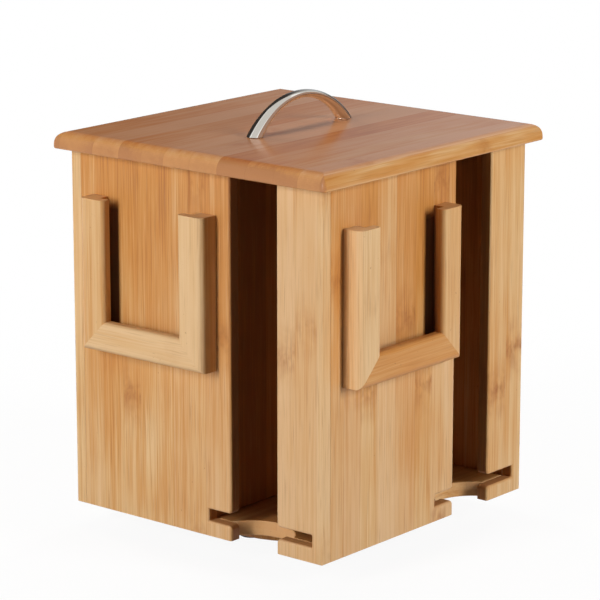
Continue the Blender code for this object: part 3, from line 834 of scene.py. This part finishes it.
def rail(ends, outer):
    """A rail between two end sections, its free end and outer corners sanded round and its mitres sharp."""
    bm = loft(ends)
    sanded = []
    for edge in sharp_edges(bm):
        points = [vert.co for vert in edge.verts]
        free = all(abs(co.z - rail_top) < SAME_PLACE for co in points)
        reached = any(co.y < wall - SANDED_FROM_WALL for co in points)
        if free or (reached and all(outer(co) for co in points)):
            sanded.append(edge)
    ease(bm, sanded, RAIL_END_EASE, RAIL_END_STEPS)
    ease(bm, sharp_edges(bm), MITRE_EASE, EASE_STEPS)
    return bm


def rail_shade(across, out, below_top):
    """Painted shade darkens the rebate behind the lip, but not near its open end."""
    in_rebate = across > web - TOUCH and out < RAIL_POCKET - CAD_GAP + TOUCH
    return GROOVE_SHADE if in_rebate and below_top > GROOVE_END else 0.0


def rail_drop(label, co):
    """Painted shade: the sides of a rail are less pale than its face and its free end."""
    if co.z > rail_top - TOUCH:
        return 0.0
    round_the_nose = (wall - co.y - (rail_depth - RAIL_NOSE)) / RAIL_NOSE
    return RAIL_SIDE_DROP[label] * (1.0 - min(max(round_the_nose, 0.0), 1.0))


rail_bamboo = bamboo("rail_bamboo", slat_width=31.0, ply=60.0, gloss=0.40, lively=0.7, spread=0.12,
                     knuckles=0.15)
RAIL_PALE = {"front": (0.68, 1.02, 1.02), "right": (1.05, 0.68, 0.42), "back": (0.8, 0.9, 0.7),
             "left": (0.9, 0.75, 0.6)}
side_low, side_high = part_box("front_holder_left_rail")
right_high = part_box("front_holder_right_rail")[1]
section = rail_section(side_high.x - side_low.x, side_high.y - side_low.y)
rail_top = side_high.z
rail_foot = side_low.z - MITRE_GAP
wall = side_high.y
rail_depth = side_high.y - side_low.y
left_mitre = [(side_low.x + across, wall - out, rail_foot + across) for across, out in section]
right_mitre = [(right_high.x - across, wall - out, rail_foot + across) for across, out in section]
left_ends = [left_mitre, [(x, y, rail_top) for x, y, z in left_mitre]]
right_ends = [right_mitre, [(x, y, rail_top) for x, y, z in right_mitre]]
lower_ends = [left_mitre, right_mitre]
for i, face in enumerate(FACES):
    turn = i * math.pi / 2
    batch = RAIL_BATCH * i
    left_pale, right_pale, lower_pale = RAIL_PALE[face]
    for label, ends, side, start, pale in (("left", left_ends, side_low.x, LEFT_RAIL_START, left_pale),
                                           ("right", right_ends, right_high.x, RIGHT_RAIL_START, right_pale)):
        wooden(f"rail_{face}_{label}", rail(ends, lambda co: abs(co.x - side) < SAME_PLACE),
               lambda co: (co.x + batch + start, co.y - wall, co.z + batch + start), pale, rail_bamboo, turn,
               "carousel", "bamboo_rail", f"{face}_holder_{label}_rail",
               shade_at=lambda co: rail_shade(abs(co.x - side), wall - co.y, rail_top - co.z),
               drop=lambda co: rail_drop(label, co))
    wooden(f"rail_{face}_bottom", rail(lower_ends, lambda co: abs(co.z - rail_foot) < SAME_PLACE),
           lambda co: (co.z + batch, co.y - wall, co.x + batch), lower_pale, rail_bamboo, turn, "carousel",
           "bamboo_rail", f"{face}_holder_bottom_rail", drop=lambda co: rail_drop("bottom", co))

# Lid: a laminated bamboo board that overhangs the walls, its upper edge rounded over with a cutter.
# It lies loose on the walls, and four cleats glued below it keep it in place.
LID_CORNER = 0.0018
LEAST_CORNER = 0.0004
LID_CORNER_STEPS = 6
LID_ROUNDING = 0.0062
LID_ROUNDING_STEPS = 10
LID_LOWER_EASE = 0.0009
LID_LOWER_STEPS = 3
CLEAT_BATCH = 0.23


def rounded_square(half, corner, height):
    """A square ring with round corners at one height."""
    corner = max(corner, LEAST_CORNER)
    reach = half - corner
    ring = []
    for i, (side_x, side_y) in enumerate(((1, 1), (-1, 1), (-1, -1), (1, -1))):
        start = i * math.pi / 2
        centre = (side_x * reach, side_y * reach)
        for x, y in arc(centre, corner, start, start + math.pi / 2, LID_CORNER_STEPS):
            ring.append((x, y, height))
    return ring


lid_low, lid_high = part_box("lid_board")
lid_half = lid_high.x
lid_rings = []
for step in range(LID_LOWER_STEPS + 1):
    angle = step * math.pi / 2 / LID_LOWER_STEPS
    inset = LID_LOWER_EASE * (1 - math.sin(angle))
    lid_rings.append(rounded_square(lid_half - inset, LID_CORNER - inset,
                                    lid_low.z + LID_LOWER_EASE * (1 - math.cos(angle))))
for step in range(LID_ROUNDING_STEPS + 1):
    angle = step * math.pi / 2 / LID_ROUNDING_STEPS
    inset = LID_ROUNDING * (1 - math.cos(angle))
    lid_rings.append(rounded_square(lid_half - inset, LID_CORNER - inset,
                                    lid_high.z - LID_ROUNDING * (1 - math.sin(angle))))
LID_STAIN = (0.55, (0.510, 0.138, 0.042), 1.6)
lid_bamboo = bamboo("lid_bamboo", slat_width=17.0, ply=30.0, gloss=0.17, lively=1.25, spread=0.9, fine=0.45,
                    streak_length=45.0, end_drop=0.62, stain=LID_STAIN)
LID_PALE = 0.58
wooden("lid", loft(lid_rings), lambda co: (co.x, lid_high.z - co.z, co.y), LID_PALE, lid_bamboo, 0.0, "lid",
       "bamboo_lid", "lid_board")
cleat_low, cleat_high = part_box("front_lid_cleat")
for i, face in enumerate(FACES):
    batch = CLEAT_BATCH * i
    wooden(f"cleat_{face}", plain_board(cleat_low, cleat_high), lambda co: (co.z + batch, co.y, co.x + batch),
           FLOOR_PALE, floor_bamboo, i * math.pi / 2, "lid", "bamboo_inner", f"{face}_lid_cleat")

# Handle: a solid bow cast in zinc alloy and chrome plated, thin at the top and stouter at its feet.
# Two screws from below the lid hold it.
HANDLE_SPAN = 0.0668
HANDLE_TOP_THICKNESS = 0.0038
HANDLE_FOOT_THICKNESS = 0.0062
HANDLE_TOP_WIDTH = 0.0065
HANDLE_FOOT_WIDTH = 0.0084
HANDLE_POINTS = 121
HANDLE_SIDES = 40
FOOT_END = 0.9999
HANDLE_SCREW_RADIUS = 0.0034
HANDLE_SCREW_HEAD = 0.0022
CHROME_HAZY = (0.80, 0.78, 0.74)
CHROME_CLEAR = (0.88, 0.86, 0.82)


def chrome(name):
    """Bright plating: a clean mirror with faint haze and fine polishing marks."""
    material, shader, start = new_material(name)
    place = object_place(start)
    haze = noise(place, scale=0.12, detail=3.0)
    marks = noise(place, scale=1.4)
    connect(shader, "Base Color", haze.mix((*CHROME_HAZY, 1), (*CHROME_CLEAR, 1)))
    connect(shader, "Roughness", 0.05 + haze * 0.06 + marks * 0.03)
    relief(shader, marks, strength=0.04, depth=0.00005)
    shader.inputs["Metallic"].default_value = 1.0
    return material


bow_tree, bow, close_bow = nodes_tree("bow handle", [
    ("Span", "NodeSocketFloat"), ("Rise", "NodeSocketFloat"), ("Base Height", "NodeSocketFloat"),
    ("Top Thickness", "NodeSocketFloat"), ("Foot Thickness", "NodeSocketFloat"),
    ("Top Width", "NodeSocketFloat"), ("Foot Width", "NodeSocketFloat"), ("Foot Slope", "NodeSocketFloat"),
    ("Material", "NodeSocketMaterial")])
nothing = 0.0 * bow["Span"]
spine = nothing.node("GeometryNodeCurveArc", {"mode": "POINTS"}, {
    "Resolution": HANDLE_POINTS, "Start": nothing.vector(bow["Span"] * -0.5, 0.0),
    "Middle": nothing.vector(0.0, bow["Rise"]), "End": nothing.vector(bow["Span"] * 0.5, 0.0)})
share = nothing.node("GeometryNodeSplineParameter") * 2.0 - 1.0
flare = share * share
thickness = bow["Top Thickness"] + (bow["Foot Thickness"] - bow["Top Thickness"]) * flare
width = bow["Top Width"] + (bow["Foot Width"] - bow["Top Width"]) * flare
stored = spine
for label, value in (("spread", width / thickness), ("share", share)):
    stored = stored.node("GeometryNodeStoreNamedAttribute", {"data_type": "FLOAT", "domain": "POINT"},
                         {"Geometry": stored, "Name": label, "Value": value})
hoop = nothing.node("GeometryNodeCurvePrimitiveCircle", {}, {"Resolution": HANDLE_SIDES, "Radius": 0.5})
skin = stored.node("GeometryNodeCurveToMesh", {}, {"Curve": stored, "Profile Curve": hoop, "Scale": thickness,
                                                   "Fill Caps": True})


def named(label):
    return nothing.node("GeometryNodeInputNamedAttribute", {"data_type": "FLOAT"}, {"Name": label})


here = nothing.node("GeometryNodeInputPosition")
x, y, z = here.node("ShaderNodeSeparateXYZ", {}, {0: here}, take=(0, 1, 2))
wide = (x * named("spread")).vector(y, z)
skin = skin.node("GeometryNodeSetPosition", {}, {"Geometry": skin, "Position": wide})
from_top = named("share").size()
at_foot = from_top.maths("GREATER_THAN", from_top, FOOT_END)
levelled = x.vector(y + y.maths("SIGN", y) * z * bow["Foot Slope"], 0.0)
skin = skin.node("GeometryNodeSetPosition", {},
                 {"Geometry": skin, "Selection": at_foot, "Position": levelled})
raised = nothing.vector(0.0, bow["Base Height"])
skin = skin.node("GeometryNodeSetPosition", {}, {"Geometry": skin, "Offset": raised})
close_bow(skin.node("GeometryNodeSetShadeSmooth", {}, {"Geometry": skin}))

bow_low, bow_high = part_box("handle_bow")
bow_rise = bow_high.z - bow_low.z - HANDLE_TOP_THICKNESS / 2
bow_angle = 2 * math.atan(2 * bow_rise / HANDLE_SPAN)
handle = grown("handle", bow_tree, {
    "Span": HANDLE_SPAN, "Rise": bow_rise, "Base Height": bow_low.z, "Top Thickness": HANDLE_TOP_THICKNESS,
    "Foot Thickness": HANDLE_FOOT_THICKNESS, "Top Width": HANDLE_TOP_WIDTH, "Foot Width": HANDLE_FOOT_WIDTH,
    "Foot Slope": 1 / math.tan(bow_angle), "Material": chrome("chrome_plate")})
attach(handle, "lid")
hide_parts("handle_bow")
handle_screw = screw("handle_screw_1", HANDLE_SCREW_RADIUS, HANDLE_SCREW_HEAD, False)
ring_of("handle_screws", handle_screw, ["handle_screw_1", "handle_screw_2"], "lid", bright_zinc)

# Table: a plain pale sheet under the box that fades into the white behind it.
# The paper is matt and keeps only a soft shadow of the box.
TABLE_HALF = 6.0
TABLE_CELLS = 8
TABLE_BOUNCE = 0.35
PAPER_DIM = (0.86, 0.86, 0.855)
PAPER_BRIGHT = (0.90, 0.90, 0.895)
FADE_NEAR = 0.92
FADE_START = 220.0
FADE_LENGTH = 300.0


def background_rays(start):
    """1 for rays that show the background itself: from the camera, off metal or through glass."""
    camera, glossy, through = start.node("ShaderNodeLightPath", take=(0, 3, 6))
    return (camera + glossy + through).clamp()


bm = bmesh.new()
bmesh.ops.create_grid(bm, x_segments=TABLE_CELLS, y_segments=TABLE_CELLS, size=TABLE_HALF)
table = new_object("table", as_mesh(bm, "table"))
table_paint, table_shader, start = new_material("table_white")
paper = noise(object_place(start), scale=0.02, detail=3.0)
seen = start.node("ShaderNodeLightPath", take=0)
paper_white = paper.mix((*PAPER_DIM, 1), (*PAPER_BRIGHT, 1))
connect(table_shader, "Base Color", seen.mix((*[TABLE_BOUNCE] * 3, 1), paper_white))
table_shader.inputs["Roughness"].default_value = 0.9
glow = start.node("ShaderNodeEmission", {}, {"Color": (1, 1, 1, 1), "Strength": 1.0})
lit = Wire(start.tree, table_shader.outputs[0])
place = object_place(start)
from_box = place.node("ShaderNodeVectorMath", {"operation": "LENGTH"}, {0: place}, take=1)
fade = FADE_NEAR + ((from_box - FADE_START) / FADE_LENGTH).clamp() * (1.0 - FADE_NEAR)
blend = start.node("ShaderNodeMixShader", {}, {0: background_rays(start) * fade, 1: lit, 2: glow})
start.tree.links.new(blend.output, start.tree.nodes["Material Output"].inputs["Surface"])
table.data.materials.append(table_paint)

# Light: a tall soft box before each face of the box, a little to one side, and a weak fill on the lid.
# The surroundings are white, and give a low even light.
AMBIENT = 0.012
LAMP_AIM = 0.1
BOX_DISTANCE = 1.3
BOX_WIDTH = 0.28
BOX_HEIGHT = 0.8
FILL_DISTANCE = 1.2
FILL_WIDTH = 0.6
world = bpy.data.worlds.new("white surroundings")
bpy.context.scene.world = world
world.use_nodes = True
start = Wire(world.node_tree)
ambient = AMBIENT + background_rays(start) * (1.0 - AMBIENT)
back = world.node_tree.nodes["Background"]
back.inputs["Color"].default_value = (1, 1, 1, 1)
world.node_tree.links.new(ambient.output, back.inputs["Strength"])


def direction(azimuth, elevation):
    """A step away from the box; the azimuth turns from -Y towards +X."""
    level = math.cos(elevation)
    return Vector((math.sin(azimuth) * level, -math.cos(azimuth) * level, math.sin(elevation)))


def soft_box(name, azimuth, elevation, power, distance=BOX_DISTANCE, width=BOX_WIDTH, height=BOX_HEIGHT,
             mirrored=False):
    """An area lamp that looks at the middle of the box, its angles in degrees; metal shows it if mirrored."""
    lamp = bpy.data.lights.new(name, "AREA")
    lamp.shape = "RECTANGLE"
    lamp.size = width
    lamp.size_y = height
    lamp.energy = power
    holder = new_object(name, lamp)
    away = direction(math.radians(azimuth), math.radians(elevation))
    holder.location = Vector((0, 0, LAMP_AIM)) + away * distance
    holder.rotation_euler = away.to_track_quat("Z", "Y").to_euler()
    holder.visible_glossy = mirrored


soft_box("left_soft_box", azimuth=-8, elevation=18, power=13.5, mirrored=True)
soft_box("right_soft_box", azimuth=99, elevation=18, power=13.2)
soft_box("rear_soft_box", azimuth=188, elevation=14, power=10.0)
soft_box("far_left_soft_box", azimuth=262, elevation=14, power=10.0)
soft_box("top_fill", azimuth=220, elevation=72, power=3.0, distance=FILL_DISTANCE, width=FILL_WIDTH,
         height=FILL_WIDTH)

# Studio walls: a pale ceiling over the lamps, a dark wall to the left, a brown screen to the right, a wall
# behind with a bright window, and a low dark rim before it. They show only in lacquer and plated metal, as
# the sheen on the lid and the dark and brown lines along the bow.
CEILING_GLOW = (0.66, 0.64, 0.61)
WALL_DIM = (0.040, 0.034, 0.030)
SCREEN_BROWN = (0.400, 0.245, 0.175)
WINDOW_GLOW = (0.48, 0.50, 0.52)
WINDOW_TOP = 900.0
WINDOW_TOP_BLUR = 200.0
WINDOW_START_BLUR = 500.0
WINDOW_END = 900.0
WINDOW_END_BLUR = 300.0
CEILING_LIGHT_REACH = 900.0
ALONG_WALL_X = 0.77
ALONG_WALL_Y = 0.64
CEILING_HALF = 1.6
CEILING_HEIGHT = 2.6
WALL_HEIGHT = 1.3
WALL_HALF_HEIGHT = 1.29
CAMERA_AZIMUTH = math.radians(39.74)


def window(start):
    """Dim to the left, bright right of the middle, dim again beyond; above it, pale to the far right."""
    x, y, z = start.node("ShaderNodeSeparateXYZ", {}, {0: object_place(start)}, take=(0, 1, 2))
    sideways = x * ALONG_WALL_X + y * ALONG_WALL_Y
    started = (sideways / WINDOW_START_BLUR + 0.5).clamp()
    pane = started.lower(((WINDOW_END - sideways) / WINDOW_END_BLUR).clamp())
    low = pane.mix((*WALL_DIM, 1), (*WINDOW_GLOW, 1))
    high = (sideways / CEILING_LIGHT_REACH).clamp().mix((*WALL_DIM, 1), (*CEILING_GLOW, 1))
    return ((z - WINDOW_TOP) / WINDOW_TOP_BLUR).clamp().mix(low, high)


def studio_card(name, half_width, half_height, place, colour):
    """A card that only reflections see, of one colour or, with none, with the window on it."""
    bm = bmesh.new()
    size = Matrix.Diagonal((half_width, half_height, 1, 1))
    bmesh.ops.create_grid(bm, x_segments=1, y_segments=1, size=1, matrix=place @ size)
    card = new_object(name, as_mesh(bm, name))
    paint_of_card, shader, start = new_material(name + "_glow")
    glow = window(start) if colour is None else (*colour, 1)
    light = start.node("ShaderNodeEmission", {}, {"Color": glow, "Strength": 1.0})
    start.tree.links.new(light.output, start.tree.nodes["Material Output"].inputs["Surface"])
    card.data.materials.append(paint_of_card)
    card.visible_camera = False
    card.visible_diffuse = False
    card.visible_shadow = False


def upright(turn, behind, height):
    """Where a card stands on edge: so far behind the box, or before it if negative, then turned round it."""
    out = Matrix.Translation((0, behind, height))
    return Matrix.Rotation(turn, 4, "Z") @ out @ Matrix.Rotation(math.pi / 2, 4, "X")


studio_card("ceiling", CEILING_HALF, CEILING_HALF, Matrix.Translation((0, 0, CEILING_HEIGHT)), CEILING_GLOW)
studio_card("back_wall", half_width=2.6, half_height=WALL_HALF_HEIGHT,
            place=upright(CAMERA_AZIMUTH, behind=1.7, height=WALL_HEIGHT), colour=None)
studio_card("left_wall", half_width=1.0, half_height=WALL_HALF_HEIGHT,
            place=upright(math.radians(-92), behind=-1.9, height=WALL_HEIGHT), colour=WALL_DIM)
studio_card("table_rim", half_width=0.64, half_height=0.1,
            place=upright(math.radians(10), behind=0.45, height=0.11), colour=WALL_DIM)
studio_card("brown_screen", half_width=1.6, half_height=0.9,
            place=upright(math.radians(115), behind=-1.2, height=0.91), colour=SCREEN_BROWN)

# Camera: a long lens that looks down a little on the corner between the front and right faces.
# Its distance, height and angle are fitted to the corners of the box in the photograph.
CAMERA_ELEVATION = math.radians(13.70)
CAMERA_DISTANCE = 1.4528
CAMERA_LENS = 177.83
CAMERA_AIM = 0.0998
SENSOR_WIDTH = 36.0
camera_data = bpy.data.cameras.new("camera")
camera_data.lens = CAMERA_LENS
camera_data.sensor_width = SENSOR_WIDTH
camera = new_object("camera", camera_data)
bpy.context.scene.camera = camera
towards = direction(CAMERA_AZIMUTH, CAMERA_ELEVATION)
camera.location = Vector((0, 0, panel_low.z + CAMERA_AIM)) + towards * CAMERA_DISTANCE
camera.rotation_euler = towards.to_track_quat("Z", "Y").to_euler()
bpy.context.scene.view_settings.view_transform = "Standard"
